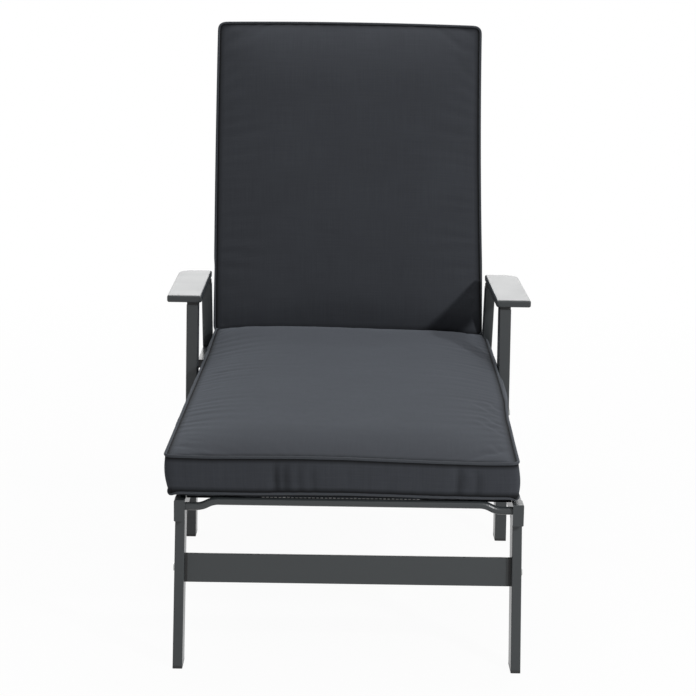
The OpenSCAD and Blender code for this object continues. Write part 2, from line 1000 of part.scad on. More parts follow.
// Sides pulled in between the corners, and the outer end, at l / 2, swollen
function drawn(p, w, l) = [
    p[0] - sign(p[0]) * draw_in * abs(2 * p[0] / w) * (1 - pow(2 * p[1] / l, 2)),
    p[1] + (p[1] > 0 ? end_swell * 2 * p[1] / l * (1 - pow(2 * p[0] / w, 2)) : 0)
];

// Rings of the cushion from below: share of the plan, inset, height
function cushion_rings() = concat(
    [for (share = floor_plan_shares) [share, 0, cushion_low]],
    [
        [1, low_tuck + pipe_in, seam_low - pipe_in],
        [1, low_tuck, seam_low],
        [1, low_tuck + pipe_in, seam_low + pipe_in],
        [1, pipe_in - side_bulge, (seam_low + seam_high) / 2],
        [1, pipe_in, seam_high - pipe_in],
        [1, 0, seam_high],
        [1, pipe_in, seam_high + pipe_in / 3]
    ],
    [for (k = [0:len(crown_plan_shares) - 1])
        [crown_plan_shares[k], 0, seam_high + crown_h * crown_rise_shares[k]]]
);

// Box cushion from the fold plane through the hinge axis to reach along Y
module box_cushion(reach) {
    w = cushion_w;
    rings = cushion_rings();
    loop = [for (p = cushion_loop(w, reach)) drawn(p, w, reach)];
    n = len(loop);
    m = len(rings);
    ring_points = [for (ring = rings) for (p = loop)
        let (start = ring[2] * tan(half_fold) + soft_gap / 2,
             along = 1 / 2 + ring[0] * p[1] / reach,
             x = p[0] * ring[0] * (1 - 2 * ring[1] / w))
        [x, start + (reach - ring[1] - start) * along, ring[2]]
    ];
    low = [0, (cushion_low * tan(half_fold) + reach) / 2, cushion_low];
    high = [0, (seam_high * tan(half_fold) + reach) / 2, seam_high + crown_h];
    points = concat(ring_points, [low, high]);
    walls = [for (k = [0:m - 2]) for (i = [0:n - 1])
        let (j = (i + 1) % n)
        let (a = k * n, b = (k + 1) * n)
        for (f = [[a + i, b + i, b + j], [a + i, b + j, a + j]]) f
    ];
    floor_fan = [for (i = [0:n - 1]) [m * n, i, (i + 1) % n]];
    crown_fan = [for (i = [0:n - 1]) [m * n + 1, (m - 1) * n + (i + 1) % n, (m - 1) * n + i]];
    polyhedron(points, concat(walls, floor_fan, crown_fan));
}

module seat_cushion() {
    color(fabric_c)
        translate([0, hinge_y, hinge_z])
            mirror([0, 1, 0])
                box_cushion(hinge_set + seat_overhang);
}

module back_cushion() {
    color(fabric_c)
        on_back()
            box_cushion(back_reach + cushion_top);
}

mirror([1, 0, 0]) side_rail();  // side_rail_left
side_rail();  // side_rail_right
mirror([1, 0, 0]) front_bracket();  // front_bracket_left
front_bracket();  // front_bracket_right
mirror([1, 0, 0]) rear_cap();  // rear_cap_left
rear_cap();  // rear_cap_right
front_crossbar();
seat_mid_bar();
seat_rear_bar();
seat_sling();
mirror([1, 0, 0]) end_leg();  // front_leg_left
end_leg();  // front_leg_right
mirror([1, 0, 0]) mirror([0, 1, 0]) end_leg();  // rear_leg_left
mirror([0, 1, 0]) end_leg();  // rear_leg_right
leg_plates();
leg_feet();
apron();  // front_apron
mirror([0, 1, 0]) apron();  // rear_apron
apron_caps();
frame_bolts();
mirror([1, 0, 0]) arm_leg();  // arm_leg_left
arm_leg();  // arm_leg_right
arm_leg_spacers();
arm_leg_feet();
mirror([1, 0, 0]) arm_base_bar();  // arm_base_bar_left
arm_base_bar();  // arm_base_bar_right
arm_base_caps();
mirror([1, 0, 0]) arm_bracket();  // arm_bracket_left
arm_bracket();  // arm_bracket_right
mirror([1, 0, 0]) arm_rear_post();  // arm_rear_post_left
arm_rear_post();  // arm_rear_post_right
arm_collars();
mirror([1, 0, 0]) armrest();  // armrest_left
armrest();  // armrest_right
mirror([1, 0, 0]) rack_plate();  // rack_plate_left
rack_plate();  // rack_plate_right
rack_rivets();
hinge_pins();
hinge_washers();
hinge_nuts();
mirror([1, 0, 0]) back_rail();  // back_rail_left
back_rail();  // back_rail_right
back_bar(top_bar_s);  // back_top_bar
back_bar(mid_bar_s);  // back_mid_bar
back_bar(lower_bar_s);  // back_lower_bar
back_sling();
back_rail_caps();
mirror([1, 0, 0]) prop_bracket();  // prop_bracket_left
prop_bracket();  // prop_bracket_right
prop_rivets();
prop_pins();
prop_clips();
mirror([1, 0, 0]) prop_arm();  // prop_arm_left
prop_arm();  // prop_arm_right
prop_bar();
prop_rollers();
seat_cushion();
back_cushion();
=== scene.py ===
# %% [markdown]
# # A sun lounger with arms and a two-part box cushion
# The solids of the frame, the armrests and the prop come from the CAD model. This lesson gives them
# their finishes, sews the two cushions and the two slings over them, and lights and frames the
# picture. The first code cell loads the model and measures it before anything is added.

# %% Load the frame of the lounger
import json
import math
import bmesh
import bpy
import numpy as np
from mathutils import Matrix, Vector


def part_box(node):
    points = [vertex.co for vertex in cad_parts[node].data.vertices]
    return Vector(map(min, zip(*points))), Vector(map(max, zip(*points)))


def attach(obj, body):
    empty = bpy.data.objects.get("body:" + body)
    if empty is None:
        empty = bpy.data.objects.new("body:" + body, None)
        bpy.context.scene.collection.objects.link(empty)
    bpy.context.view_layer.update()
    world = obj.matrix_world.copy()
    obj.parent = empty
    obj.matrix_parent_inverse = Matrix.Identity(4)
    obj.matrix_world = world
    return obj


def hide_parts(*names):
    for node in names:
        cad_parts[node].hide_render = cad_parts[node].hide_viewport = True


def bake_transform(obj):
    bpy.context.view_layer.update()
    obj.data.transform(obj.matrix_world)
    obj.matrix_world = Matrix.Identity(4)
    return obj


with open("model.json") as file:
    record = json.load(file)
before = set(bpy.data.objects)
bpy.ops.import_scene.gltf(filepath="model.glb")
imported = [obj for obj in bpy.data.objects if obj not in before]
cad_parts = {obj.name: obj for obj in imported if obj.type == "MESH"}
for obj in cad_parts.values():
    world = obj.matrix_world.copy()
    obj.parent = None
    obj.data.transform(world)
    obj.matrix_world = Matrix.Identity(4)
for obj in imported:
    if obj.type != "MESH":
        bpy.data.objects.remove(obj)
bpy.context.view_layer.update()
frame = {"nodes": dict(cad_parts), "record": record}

# %% [markdown]
# ## Sizes that the soft pieces share with the CAD model
# A cushion that is sewn here has to lie where its plain solid lies. So the hinge line and the rail
# are read off the model, and the sizes of the cushions are written once here, in metres. Each later
# cell works from these names. The heights of the underside and of the two seams count from the hinge.
# The crown is how far the top rises over its seam, the swells bow the boxing and the end outward, and
# the low tuck is how far the bottom panel is drawn in.

# %% Hinge line and cushion sizes
mm = 0.001
pin_low, pin_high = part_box("hinge_pins")
hinge = Vector((0, (pin_low.y + pin_high.y) / 2, (pin_low.z + pin_high.z) / 2))
rail_low, rail_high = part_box("side_rail_right")
rail_out = rail_high.x
rail_in = rail_low.x
rail_front = rail_low.y
overhang = 3 * mm
front_edge = rail_front - overhang
recline = math.radians(70)
half_fold = recline / 2
fold_gap = 0.4 * mm
cushion_half = rail_out + 4 * mm
seat_reach = hinge.y - rail_front + overhang
back_reach = 802 * mm
underside = 20.3 * mm
seam_low = 34.3 * mm
seam_high = 97.3 * mm
crown = 12.825 * mm
corner_r = 16 * mm
boxing_swell = 3 * mm
end_swell = 4 * mm
low_tuck = 5 * mm
piping_r = 3.0 * mm
print(f"hinge at y {hinge.y:.4f} z {hinge.z:.4f}")
print(f"cushions {2 * cushion_half:.3f} m wide, seat {seat_reach:.3f} m from its end to the hinge")

# %% [markdown]
# ## The camera of the photograph
# The picture was taken from the foot end, a little left of the middle and from standing height, with a
# long lens. A camera can be placed by eye, but here its place was worked out from some thirty edges
# of the lounger, so the numbers below are the result of that fit. The picture also leans by a degree.

# %% Camera
picture_width_px = 696
focal_length_px = 2031.3
camera_spot = (-0.0301, -4.3147, 1.2227)
heading = math.radians(-0.4)
pitch = math.radians(90 - 11.0)
roll = math.radians(0.95)

camera_data = bpy.data.cameras.new("photo_camera")
camera = bpy.data.objects.new("photo_camera", camera_data)
bpy.context.scene.collection.objects.link(camera)
camera_data.sensor_fit = "HORIZONTAL"
camera_data.sensor_width = 36
camera_data.lens = focal_length_px / picture_width_px * camera_data.sensor_width
turned = Matrix.Rotation(heading, 4, "Z") @ Matrix.Rotation(pitch, 4, "X") @ Matrix.Rotation(roll, 4, "Z")
camera.matrix_world = Matrix.Translation(camera_spot) @ turned
bpy.context.scene.camera = camera
print(f"camera with a {camera_data.lens:.1f} mm lens at {tuple(round(v, 3) for v in camera.location)}")

# %% [markdown]
# ## Colours and shader nodes
# Colours are written as a painter would read them off a chart, in hex. Blender's shaders work in
# linear light, so one function turns each hex colour into linear numbers. The other helpers add a
# node, a sum, a noise of a real size or a bump of a real depth, which keeps every finish short to read.

# %% Colour function and node helpers
def colour(hex_code):
    channels = [int(hex_code[i:i + 2], 16) / 255 for i in (1, 3, 5)]
    linear = [c / 12.92 if c <= 0.04045 else ((c + 0.055) / 1.055) ** 2.4 for c in channels]
    return (*linear, 1)


def add_node(tree, kind, inputs=(), **settings):
    """A new shader node. Inputs that are sockets are linked, all others are set."""
    made = tree.nodes.new(kind)
    for key, value in settings.items():
        setattr(made, key, value)
    for key, value in dict(inputs).items():
        if isinstance(value, bpy.types.NodeSocket):
            tree.links.new(value, made.inputs[key])
        else:
            made.inputs[key].default_value = value
    return made


def add_math(tree, operation, *values):
    return add_node(tree, "ShaderNodeMath", enumerate(values), operation=operation).outputs["Value"]


def add_noise(tree, place, size, detail):
    """Noise with spots of that size in metres."""
    noise = add_node(tree, "ShaderNodeTexNoise", {"Vector": place, "Scale": 1 / size, "Detail": detail})
    return noise.outputs["Fac"]


def link_bump(tree, shader, height, strength, depth):
    bump = add_node(tree, "ShaderNodeBump", {"Height": height, "Strength": strength, "Distance": depth})
    tree.links.new(bump.outputs["Normal"], shader.inputs["Normal"])


def object_place(tree):
    return add_node(tree, "ShaderNodeTexCoord").outputs["Object"]


def new_finish(name, **sockets):
    """A new material with one Principled shader, whose sockets are set by name."""
    material = bpy.data.materials.new(name)
    material.use_nodes = True
    shader = material.node_tree.nodes["Principled BSDF"]
    for key, value in sockets.items():
        shader.inputs[key.replace("_", " ")].default_value = value
    return material, material.node_tree, shader


print("grey card #777777 is", round(colour("#777777")[0], 3), "in linear light")

# %% [markdown]
# ## Powder coat
# The frame is extruded aluminium with a baked powder coat in dark grey, satin, with the faint orange
# peel that melted powder leaves. The peel could be an image, but a noise of about 2 mm through a weak
# bump gives it at any distance. A second, wide noise shifts the roughness, since no coat is even.

# %% Powder coat on the frame
def powder_coat_finish():
    peel_size, peel_depth, cloud_size = 2 * mm, 0.05 * mm, 90 * mm
    material, tree, shader = new_finish("satin_powder_coat", Base_Color=colour("#3b3f41"), Roughness=0.3,
                                        Specular_IOR_Level=0.46)
    place = object_place(tree)
    link_bump(tree, shader, add_noise(tree, place, peel_size, 1), 0.12, peel_depth)
    cloud = add_noise(tree, place, cloud_size, 3)
    gloss = add_node(tree, "ShaderNodeMapRange", {"Value": cloud, "To Min": 0.25, "To Max": 0.33})
    tree.links.new(gloss.outputs["Result"], shader.inputs["Roughness"])
    return material


powder_coat = powder_coat_finish()
print("made", powder_coat.name)

# %% [markdown]
# ## Bare metals and moulded nylon
# The rack plates and the prop bar are left bare so that no paint wears off where metal slides on
# metal. They show fine lines from rolling. Bolts, pins and rivets are zinc plated steel. Feet, caps,
# washers and rollers are moulded in black nylon, which has a fine grain and little shine.

# %% Aluminium, zinc plate and nylon
def rolled_metal(name, hex_code, roughness, line_pitch):
    material, tree, shader = new_finish(name, Base_Color=colour(hex_code), Metallic=1.0, Roughness=roughness)
    drawn_out = add_node(tree, "ShaderNodeMapping", {"Vector": object_place(tree), "Scale": (1, 0.03, 1)})
    lines = add_noise(tree, drawn_out.outputs["Vector"], line_pitch, 2)
    link_bump(tree, shader, lines, 0.2, 0.03 * mm)
    return material


def moulded_nylon(grain_size=0.8 * mm):
    material, tree, shader = new_finish("black_moulded_nylon", Base_Color=colour("#1c1d1e"), Roughness=0.55)
    grain = add_node(tree, "ShaderNodeTexVoronoi", {"Vector": object_place(tree), "Scale": 1 / grain_size})
    link_bump(tree, shader, grain.outputs["Distance"], 0.2, 0.04 * mm)
    return material


mill_aluminium = rolled_metal("mill_aluminium", "#b9bcbe", 0.38, 0.9 * mm)
zinc_plate = rolled_metal("zinc_plated_steel", "#b4b6b4", 0.32, 1.5 * mm)
black_nylon = moulded_nylon()
print("made", mill_aluminium.name, zinc_plate.name, black_nylon.name)

# %% [markdown]
# ## Cushion cloth
# The covers are an outdoor polyester in a plain weave, dyed charcoal with a touch of blue. Threads are
# thinner than a pixel here, so a picture of the weave would only shimmer. The cloth gets a weave bump from
# two crossed waves of its real thread pitch, and thread streaks that run along warp and weft. All of it is
# laid out on the cloth's own map in metres, so it stays with the cloth wherever the cloth's points move.

# %% Threads and weave
def thread_tone(tree, cloth, thread):
    """A factor between two tones, from streaks along both threads and a wide cloud."""
    streaks = []
    for squeeze in ((1, 0.02, 1), (0.02, 1, 1)):
        along = add_node(tree, "ShaderNodeMapping", {"Vector": cloth, "Scale": squeeze})
        streaks.append(add_noise(tree, along.outputs["Vector"], 2.2 * thread, 2))
    both = add_math(tree, "ADD", streaks[0], streaks[1])
    tone = add_math(tree, "ADD", add_noise(tree, cloth, 140 * mm, 4), both)
    mix = add_node(tree, "ShaderNodeMapRange", {"Value": tone, "From Min": 0.7, "From Max": 2.3})
    return mix.outputs["Result"]


def weave_height(tree, cloth, thread):
    """Two crossed waves at the pitch of the thread."""
    scale = 1 / (thread * 20 / math.pi) * 2
    waves = []
    for bands in ("X", "Y"):
        wave = add_node(tree, "ShaderNodeTexWave", {"Vector": cloth, "Scale": scale}, bands_direction=bands)
        waves.append(wave.outputs["Fac"])
    return add_math(tree, "MULTIPLY", waves[0], waves[1])


print("crossed waves stand for warp and weft")

# %% [markdown]
# ## Three woven finishes and a thread
# A soft sheen lights up the fibres where cloth is seen at a low angle. Down in a seam little light gets in,
# and that shade is painted: each cover carries a value per point, which is 1 in the seam, and as it grows the
# colour is darkened toward near black and the sheen is taken away. The cushion cloth, its piping and the
# black mesh of the slings differ in tone, thread and sheen only, and the piping's lighter tone is a painted
# highlight for the light on its round top.

# %% Cloth finishes
def woven_finish(name, hex_dark, hex_light, thread=0.9 * mm, sheen=0.25, bump_depth=0.12 * mm):
    material, tree, shader = new_finish(name, Roughness=0.92, Sheen_Weight=sheen, Sheen_Roughness=0.45,
                                        Sheen_Tint=colour("#aab4c0"), Specular_IOR_Level=0.2)
    cloth = add_node(tree, "ShaderNodeUVMap", uv_map="cloth").outputs["UV"]
    tones = add_node(tree, "ShaderNodeMix", {"Factor": thread_tone(tree, cloth, thread)}, data_type="RGBA")
    tones.inputs["A"].default_value = colour(hex_dark)
    tones.inputs["B"].default_value = colour(hex_light)
    # painted seam shade: where this value is high the colour is darkened toward #0c0d0e and the sheen is
    # taken away
    pinched = add_node(tree, "ShaderNodeAttribute", attribute_name="painted_seam_shade").outputs["Fac"]
    fuzz = add_math(tree, "MULTIPLY_ADD", pinched, -sheen, sheen)
    tree.links.new(fuzz, shader.inputs["Sheen Weight"])
    shade = add_node(tree, "ShaderNodeMix", {"Factor": pinched, "A": tones.outputs[2]}, data_type="RGBA")
    shade.inputs["B"].default_value = colour("#0c0d0e")
    tree.links.new(shade.outputs[2], shader.inputs["Base Color"])
    link_bump(tree, shader, weave_height(tree, cloth, thread), 0.35, bump_depth)
    return material


cushion_cloth = woven_finish("charcoal_woven_polyester", "#3a3c41", "#46494f")
# the piping is cut from the cover cloth; its lighter tones are a painted highlight for the light on its round
# top
piping_cloth_painted_lighter = woven_finish("charcoal_piping_cloth", "#45484d", "#505358", sheen=0.15)
sling_cloth = woven_finish("black_sling_mesh", "#0e0f10", "#1b1c1e", thread=1.6 * mm, sheen=0.05,
                           bump_depth=0.4 * mm)
hem_thread = new_finish("white_sewing_thread", Base_Color=colour("#f4f4f2"), Roughness=0.35,
                        Specular_IOR_Level=1.0)[0]
print("made", cushion_cloth.name, piping_cloth_painted_lighter.name, sling_cloth.name, hem_thread.name)

# %% [markdown]
# ## Finishes on the CAD pieces
# Each CAD node carries a slot name in the model's record, such as powder_coat. Painting by that name
# is shorter and safer than a list of pieces, because a new piece then gets its finish by itself.

# %% Paint the CAD pieces
finish_of_slot = {
    "powder_coat": powder_coat, "bare_aluminium": mill_aluminium, "zinc_steel": zinc_plate,
    "black_nylon": black_nylon, "sling_mesh": sling_cloth, "cushion_fabric": cushion_cloth,
}
slot_of_node = {p["node"]: p["material_slot"] for p in frame["record"]["subparts"]}
for name, piece in frame["nodes"].items():
    piece.data.materials.clear()
    piece.data.materials.append(finish_of_slot[slot_of_node[name]])
print("painted", len(frame["nodes"]), "nodes with", len(finish_of_slot), "finishes")

# %% [markdown]
# ## Helpers for meshes
# Every soft piece is built in the same steps: points and faces become a mesh, each face corner gets
# its place on the cloth in metres, the faces are turned outward and the mesh becomes a piece of the
# scene. Later cells read all points of a piece at once, move them and write them back.

# %% Mesh helpers
def cloth_mesh(name, points, faces, maps):
    """A mesh of four-sided faces, with the place on the cloth of each face corner."""
    mesh = bpy.data.meshes.new(name)
    mesh.from_pydata(points.tolist(), [], faces)
    layer = mesh.uv_layers.new(name="cloth")
    layer.data.foreach_set("uv", np.array(maps, float).ravel())
    return mesh


def turn_faces_out(mesh):
    build = bmesh.new()
    build.from_mesh(mesh)
    bmesh.ops.recalc_face_normals(build, faces=build.faces[:])
    build.to_mesh(mesh)
    build.free()


def add_piece(name, mesh):
    piece = bpy.data.objects.new(name, mesh)
    bpy.context.scene.collection.objects.link(piece)
    return piece


def points_of(mesh):
    return np.array([vertex.co for vertex in mesh.vertices])


def put_points(mesh, points):
    mesh.vertices.foreach_set("co", points.ravel())
    mesh.update()


def walked_along(path):
    """The length of a path up to each of its points."""
    return np.concatenate([[0], np.cumsum(np.linalg.norm(np.diff(path, axis=0), axis=1))])


sample_path = np.array([[0, 0], [3, 0], [3, 4]])
print("a path of 3 m and 4 m at a right angle is", walked_along(sample_path)[-1], "m long")

# %% [markdown]
# ## The cut of a box cushion
# A box cushion is sewn from a top panel, a bottom panel and a strip between them, the boxing, with a
# cord in its own cloth, the piping, in each seam. Both cushions are cut with a slanted end, so that
# they close the fold between seat and back. The cut is made here as one closed net of four-sided
# faces: a grid for each panel, and strips between their edges. Its corners are rounded by turning
# each small corner square into a quarter disc, which keeps the grid even.

# %% Grid lines and rounded corners
corner_lines = np.array([8, 4, 0]) * mm


def grid_lines(half, corner, step):
    """Even lines across a panel, and closer ones in its rounded corners."""
    inner = half - corner
    count = max(2, round(2 * inner / step))
    edge = corner - corner_lines
    middle = np.linspace(-inner, inner, count + 1)
    return np.concatenate([-inner - edge[::-1], middle, inner + edge])


def round_corners(x, y, half_x, half_y, r):
    over_x = np.abs(x) - (half_x - r)
    over_y = np.abs(y) - (half_y - r)
    p, q = np.clip(over_x / r, 0, 1), np.clip(over_y / r, 0, 1)
    reach = np.maximum(p, q)
    small = np.minimum(p, q)
    turn = np.where(reach > 0, small / np.maximum(reach, 1e-9), 0) * math.pi / 4
    turn = np.where(p >= q, turn, math.pi / 2 - turn)
    inside = (over_x > 0) & (over_y > 0)
    new_x = np.where(inside, np.sign(x) * (half_x - r + r * reach * np.cos(turn)), x)
    new_y = np.where(inside, np.sign(y) * (half_y - r + r * reach * np.sin(turn)), y)
    return new_x, new_y


def edge_walk(nx, ny):
    """Grid places round the edge of a panel, once round."""
    walk = [(i, 0) for i in range(nx)] + [(nx - 1, j) for j in range(1, ny)]
    walk += [(i, ny - 1) for i in range(nx - 2, -1, -1)] + [(0, j) for j in range(ny - 2, 0, -1)]
    return walk


print("a panel of 5 by 7 lines has", len(edge_walk(5, 7)), "points round its edge")

# %% [markdown]
# ## Panels with a crown
# The net is built flat in the cushion's own measure: x across, s along from the hinge and h up. A
# firm cushion rises from its seams in a wide, soft dome, while the underside lies flat on its sling
# and is rounded only near the edge. The ends slant with the height, so both cushions meet in the
# plane of the fold. A grain of a tenth of a millimetre keeps the top from looking machined.

# %% Panel outline and heights
dome_side, dome_end, dome_fold = 150 * mm, 170 * mm, 34 * mm
bottom_round = 40 * mm
top_grain = 0.12 * mm


def ease(distance, width):
    """From 0 to 1 over that width, level at both ends."""
    share = np.clip(distance / width, 0, 1)
    return share * share * (3 - 2 * share)


def rounded(distance, width):
    """From 0 to 1 over that width on a quarter circle."""
    return np.sqrt(1 - (1 - np.clip(distance / width, 0, 1)) ** 2)


def rolled(distance, width):
    """From 0 to 1 over that width on a quarter of a sine wave."""
    return np.sin(math.pi / 2 * np.clip(distance / width, 0, 1))


def bow_outline(px, py, reach, swells):
    """Sides and end of a panel bow outward, or inward where a swell is negative."""
    across, along = px / cushion_half, 2 * py / reach
    swell = np.where(px > 0, swells[1], swells[0])
    bowed_x = px + np.sign(px) * swell * np.abs(across) ** 3 * (1 - along ** 2)
    bowed_y = py + np.where(along > 0, end_swell * along ** 3 * (1 - across ** 2), 0)
    return bowed_x, bowed_y


def panel_heights(px, py, reach, rng):
    """Heights of the top and the bottom panel."""
    from_side, from_fold, from_end = cushion_half - np.abs(px), reach / 2 + py, reach / 2 - py
    domed = rolled(from_side, dome_side) * rolled(from_end, dome_end) * rounded(from_fold, dome_fold)
    grain = rng.normal(0, top_grain, px.shape) * (domed > 0)
    flat = np.minimum(rounded(from_side, bottom_round), rounded(from_end, bottom_round))
    flat = np.minimum(flat, rounded(from_fold, bottom_round))
    return seam_high + crown * domed + grain, seam_low - (seam_low - underside) * flat


def lay(reach, x, y, h, tuck_x=0.0, tuck_y=0.0):
    """Points at height h, drawn in by the tucks, with the fold end in the plane of the fold."""
    start = h * math.tan(half_fold) + fold_gap
    x = x * (1 - tuck_x / cushion_half)
    y = np.where(y > 0, y * (1 - 2 * tuck_y / reach), y)
    return np.stack(np.broadcast_arrays(x, start + (reach - start) * (0.5 + y / reach), h), -1)


print(f"the fold end slants by {math.tan(half_fold) * (seam_high - seam_low) / mm:.0f} mm over the boxing")

# %% [markdown]
# ## Boxing and puckers
# Rings of points lead from the lower seam up the boxing to the upper seam. Between the seams the
# boxing fills out. At the right side of the photographed seat it stays flat near the foot end and
# fills out only beside the arm. In the front boxing a few upright folds are pinched in, left of the
# middle and near the right corner. The net keeps the depth of these folds for a later cell.

# %% Build the two nets
boxing_shares = [0, 0.06, 0.2, 0.36, 0.52, 0.68, 0.83, 0.94, 1]
boxing_rows = len(boxing_shares) - 1
right_tuck_share = 0.3
left_belly_from, left_belly_ease = 8 * mm, 250 * mm
right_belly_from, right_belly_ease = 470 * mm, 230 * mm
fold_belly_from, fold_belly_ease = 8 * mm, 70 * mm
pucker_places = np.array([-112, -93, -70, -46, 205, 231]) * mm
pucker_depths = np.array([9, 7, 3, 2.5, 6, 4.5]) * mm
pucker_width = 5 * mm


def belly_at(edge_x, edge_y, reach, bellies):
    """How far the boxing fills out at each point of the edge."""
    right = edge_x > 0
    begin = np.where(right, right_belly_from, left_belly_from)
    share = ease(reach / 2 - edge_y - begin, np.where(right, right_belly_ease, left_belly_ease))
    share *= ease(reach / 2 + edge_y - fold_belly_from, fold_belly_ease)
    return np.where(right, bellies[1], bellies[0]) * share


def pucker_at(edge_x, edge_y, reach, xs):
    """Depth of the pinched folds at each point of the edge. Each fold lies on a grid line."""
    at_end = (edge_y > reach / 2 - 2 * mm) * 1.0
    puckers = np.zeros(len(edge_x))
    for place, depth in zip(pucker_places, pucker_depths):
        near = xs[np.argmin(np.abs(xs - place))]
        puckers += depth * np.exp(-((edge_x - near) / pucker_width) ** 2) * at_end
    return puckers


def cushion_net(reach, step_x, step_y, seed, swells, bellies):
    """The net of one cushion. Swells and bellies are given for the left and the right side."""
    rng = np.random.default_rng(seed)
    xs, ys = grid_lines(cushion_half, corner_r, step_x), grid_lines(reach / 2, corner_r, step_y)
    gx, gy = np.meshgrid(xs, ys, indexing="ij")
    px, py = round_corners(gx, gy, cushion_half, reach / 2, corner_r)
    top_h, bottom_h = panel_heights(px, py, reach, rng)
    px, py = bow_outline(px, py, reach, swells)
    walk = edge_walk(len(xs), len(ys))
    edge = np.array([(px[place], py[place]) for place in walk])
    edge_x, edge_y = edge.T
    belly = belly_at(edge_x, edge_y, reach, bellies)
    edge_tuck = np.where(edge_x > 0, right_tuck_share, 1)
    rows = []
    for share in boxing_shares[1:-1]:
        round_out = math.sin(math.pi * share)
        tuck = low_tuck * (1 - share) ** 1.5
        side_tuck = tuck * edge_tuck - (boxing_swell + belly) * round_out
        height = seam_low + (seam_high - seam_low) * share
        rows.append(lay(reach, edge_x, edge_y, height, side_tuck, tuck - boxing_swell * round_out))
    bottom_tuck = low_tuck * np.where(px > 0, right_tuck_share, 1)
    return dict(nx=len(xs), ny=len(ys), xs=xs, ys=ys, walk=walk, rows=rows,
                walked=walked_along(np.concatenate([edge, edge[:1]])),
                top=lay(reach, px, py, top_h), bottom=lay(reach, px, py, bottom_h, bottom_tuck, low_tuck),
                puckers=pucker_at(edge_x, edge_y, reach, xs))


seat_net = cushion_net(seat_reach, 8 * mm, 11 * mm, 3, (3 * mm, 3 * mm), (12 * mm, 13 * mm))
back_net = cushion_net(back_reach, 11 * mm, 11 * mm, 8, (1.6 * mm, -4.5 * mm), (0, -2 * mm))
print("seat panel", seat_net["nx"], "by", seat_net["ny"], "lines")
print("back panel", back_net["nx"], "by", back_net["ny"], "lines")

# %% [markdown]
# ## Faces of a net
# The two panels share their edge points with the boxing, so the cover is closed and can hold its
# filling. The cloth map is written corner by corner, because a seam point lies at one place on the
# panel and at another on the strip. On the map the strip lies two metres away from the panels.

# %% Rings and faces
strip_offset = 2
strip_place = [strip_offset + (seam_high - seam_low) * share for share in boxing_shares]


def seam_ring(net, row):
    """Numbers of the points in one row of the boxing, of which the first and last are the seams."""
    ny, walk = net["ny"], net["walk"]
    count, around = net["nx"] * ny, len(walk)
    if row in (0, boxing_rows):
        return [(count if row else 0) + i * ny + j for i, j in walk]
    return [2 * count + (row - 1) * around + t for t in range(around)]


def net_faces(net):
    """The faces of a net and the places of their corners on the cloth."""
    nx, ny, walked, around = net["nx"], net["ny"], net["walked"], len(net["walk"])
    faces, maps = [], []
    for base in (0, nx * ny):
        for i in range(nx - 1):
            for j in range(ny - 1):
                square = [(i, j), (i + 1, j), (i + 1, j + 1), (i, j + 1)]
                faces.append([base + a * ny + b for a, b in square])
                maps.append([(net["xs"][a], net["ys"][b]) for a, b in square])
    for row in range(boxing_rows):
        low, high = seam_ring(net, row), seam_ring(net, row + 1)
        v0, v1 = strip_place[row:row + 2]
        for t in range(around):
            u = (t + 1) % around
            faces.append([low[t], low[u], high[u], high[t]])
            maps.append([(walked[t], v0), (walked[t + 1], v0), (walked[t + 1], v1), (walked[t], v1)])
    return faces, maps


print("the seat cover has", len(seam_ring(seat_net, 0)), "points along each seam")

# %% [markdown]
# ## From the net to a cover
# The nets are now stood in the scene: the seat flat on its rails, the back turned up about the hinge by the
# recline. Next to each seam the cloth dips into a crevice where little light gets in, and that shade is
# painted: a value per point marks it, over the seam itself and the lines beside it, and darkens the cloth
# colour there.

# %% Covers
# how much painted shade the lines beside the seams get
boxing_line_painted_shade = 0.85
second_line_painted_shade = 0.35


def place_seat(points):
    return np.stack([points[:, 0], hinge.y - points[:, 1], hinge.z + points[:, 2]], -1)


def place_back(points):
    c, s = math.cos(recline), math.sin(recline)
    along, up = points[:, 1], points[:, 2]
    return np.stack([points[:, 0], hinge.y + along * c - up * s, hinge.z + along * s + up * c], -1)


def net_to_cover(name, net, place):
    nx, ny = net["nx"], net["ny"]
    count = nx * ny
    points = np.concatenate([net["bottom"].reshape(-1, 3), net["top"].reshape(-1, 3)] + net["rows"])
    mesh = cloth_mesh(name, place(points), *net_faces(net))
    turn_faces_out(mesh)
    # painted shade along the seams: 1 in the seam, less on the lines beside it
    depth = np.zeros(len(points))
    depth[seam_ring(net, 0) + seam_ring(net, boxing_rows)] = 1
    depth[seam_ring(net, 1) + seam_ring(net, boxing_rows - 1)] = boxing_line_painted_shade
    i, j = np.meshgrid(np.arange(nx), np.arange(ny), indexing="ij")
    from_seam = np.minimum(np.minimum(i, nx - 1 - i), np.minimum(j, ny - 1 - j)).ravel()
    for base in (0, count):
        depth[base + np.flatnonzero(from_seam == 1)] = 1
        depth[base + np.flatnonzero(from_seam == 2)] = second_line_painted_shade
    mesh.attributes.new("painted_seam_shade", "FLOAT", "POINT").data.foreach_set("value", depth)
    return add_piece(name, mesh)


seat_cover = net_to_cover("seat_cushion_cover", seat_net, place_seat)
back_cover = net_to_cover("back_cushion_cover", back_net, place_back)
print("seat cover has", len(seat_cover.data.polygons), "faces, back cover", len(back_cover.data.polygons))

# %% [markdown]
# ## Filling the cushions
# A cushion gets its look from pressure inside and from seams that are a little shorter than the
# cloth. So each cover is blown up as cloth: the seam points and the underside are held, gravity is
# off, and the cloth may grow by about half a percent, which makes soft waves along the boxing. Twenty
# steps are enough. How far a point moves levels off below a limit, and where the photographed
# cushions are firm it moves only by a share of that.

# %% Fill a cover
cloth_growth = 0.006
most_fill = 11 * mm
filling_steps = 20


def hold(piece, net):
    """A vertex group of the points that the filling can't move: both seams and the underside."""
    seams = seam_ring(net, 0) + seam_ring(net, boxing_rows)
    under = np.flatnonzero(net["bottom"][..., 2].ravel() < underside + 0.5 * mm).tolist()
    held = piece.vertex_groups.new(name="held")
    held.add(seams + under, 1.0, "REPLACE")
    return held


